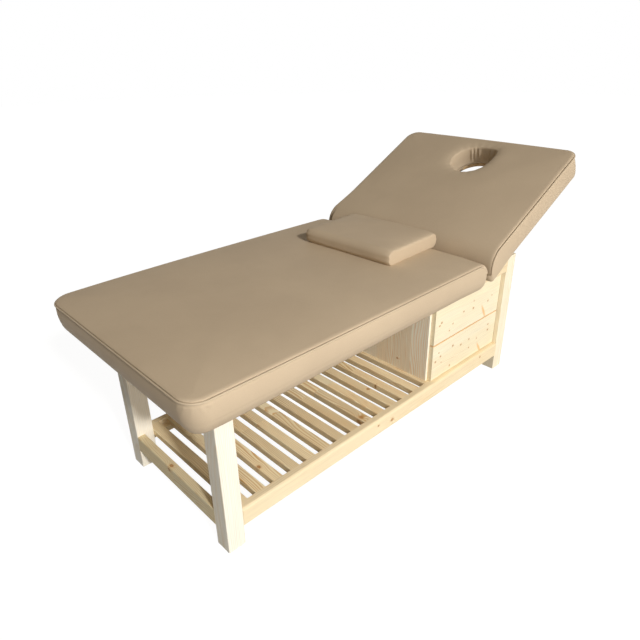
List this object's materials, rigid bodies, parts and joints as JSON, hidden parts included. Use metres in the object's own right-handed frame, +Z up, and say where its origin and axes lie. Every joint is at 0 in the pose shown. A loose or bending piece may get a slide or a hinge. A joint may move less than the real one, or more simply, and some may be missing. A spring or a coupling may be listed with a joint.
{
  "type": "spa bed",
  "caption": "Upholstered spa and massage bed: pine leg frame, slatted shelf, drawer cabinet, lifting head section with face hole, and a loose pillow.",
  "frame": {"origin": "on the floor, under the middle of the bed's whole length and width, head section raised", "axes": "+X from the foot to the head, -Y towards the side that the drawers open on, +Z up"},
  "size_m": [1.8106, 0.8, 0.9302],
  "materials": {
    "vinyl": "satin",
    "pine": "satin",
    "pine_slat": "satin",
    "pine_panel": "satin",
    "plywood": "matte",
    "beech": "satin",
    "zinc_steel": "satin"
  },
  "bodies": {
    "base": {"leg_foot_front": "pine", "leg_foot_back": "pine", "leg_head_front": "pine", "leg_head_back": "pine", "lower_rail_front": "pine", "lower_rail_back": "pine", "lower_rail_foot": "pine", "lower_rail_head": "pine", "upper_rail_front": "pine", "upper_rail_back": "pine", "upper_rail_foot": "pine", "upper_rail_head": "pine", "bearer_middle": "pine", "bearer_hinge": "pine", "ledger_front": "pine", "ledger_back": "pine", "slat_1": "pine_slat", "slat_2": "pine_slat", "slat_3": "pine_slat", "slat_4": "pine_slat", "slat_5": "pine_slat", "slat_6": "pine_slat", "slat_7": "pine_slat", "slat_8": "pine_slat", "slat_9": "pine_slat", "slat_10": "pine_slat", "slat_11": "pine_slat", "slat_12": "pine_slat", "slat_13": "pine_slat", "slat_14": "pine_slat", "cabinet_side": "pine_panel", "cabinet_end": "pine_panel", "cabinet_back": "pine_panel", "cabinet_top": "pine_panel", "cabinet_divider": "pine_panel", "cabinet_floor": "pine_panel", "runner_lower_left": "pine", "runner_lower_right": "pine", "runner_upper_left": "pine", "runner_upper_right": "pine", "lower_board": "plywood", "lower_cushion": "vinyl", "hinge_leaf_fixed": "zinc_steel", "hinge_pin": "zinc_steel", "prop_pivot_rod": "zinc_steel"},
    "head_section": {"head_board": "plywood", "head_cushion": "vinyl", "hinge_leaf_moving": "zinc_steel", "guide_front": "pine", "guide_back": "pine"},
    "prop": {"prop_arm_front": "pine", "prop_arm_back": "pine", "prop_cross_rod": "beech"},
    "drawer_lower": {"drawer_lower_front": "pine_panel", "drawer_lower_box": "plywood"},
    "drawer_upper": {"drawer_upper_front": "pine_panel", "drawer_upper_box": "plywood"},
    "pillow": {"pillow": "vinyl"}
  },
  "joints": [
    {"name": "head_tilt", "type": "hinge", "parent": "base", "child": "head_section", "pos_m": [0.318, 0, 0.526], "axis": [0, -1, 0], "range_deg": [-27, 3]},
    {"name": "prop_fold", "type": "hinge", "parent": "base", "child": "prop", "pos_m": [0.48095, 0, 0.50019], "axis": [0, -1, 0], "range_deg": [-54, 6]},
    {"name": "drawer_lower_slide", "type": "slide", "parent": "base", "child": "drawer_lower", "axis": [0, -1, 0], "range_m": [0, 0.34]},
    {"name": "drawer_upper_slide", "type": "slide", "parent": "base", "child": "drawer_upper", "axis": [0, -1, 0], "range_m": [0, 0.34]},
    {"name": "pillow_lift", "type": "slide", "parent": "base", "child": "pillow", "axis": [0, 0, 1], "range_m": [0, 0.15]}
  ],
  "couplings": [
    {"joint": "prop_fold", "follows": "head_tilt", "ratio": 2}
  ]
}
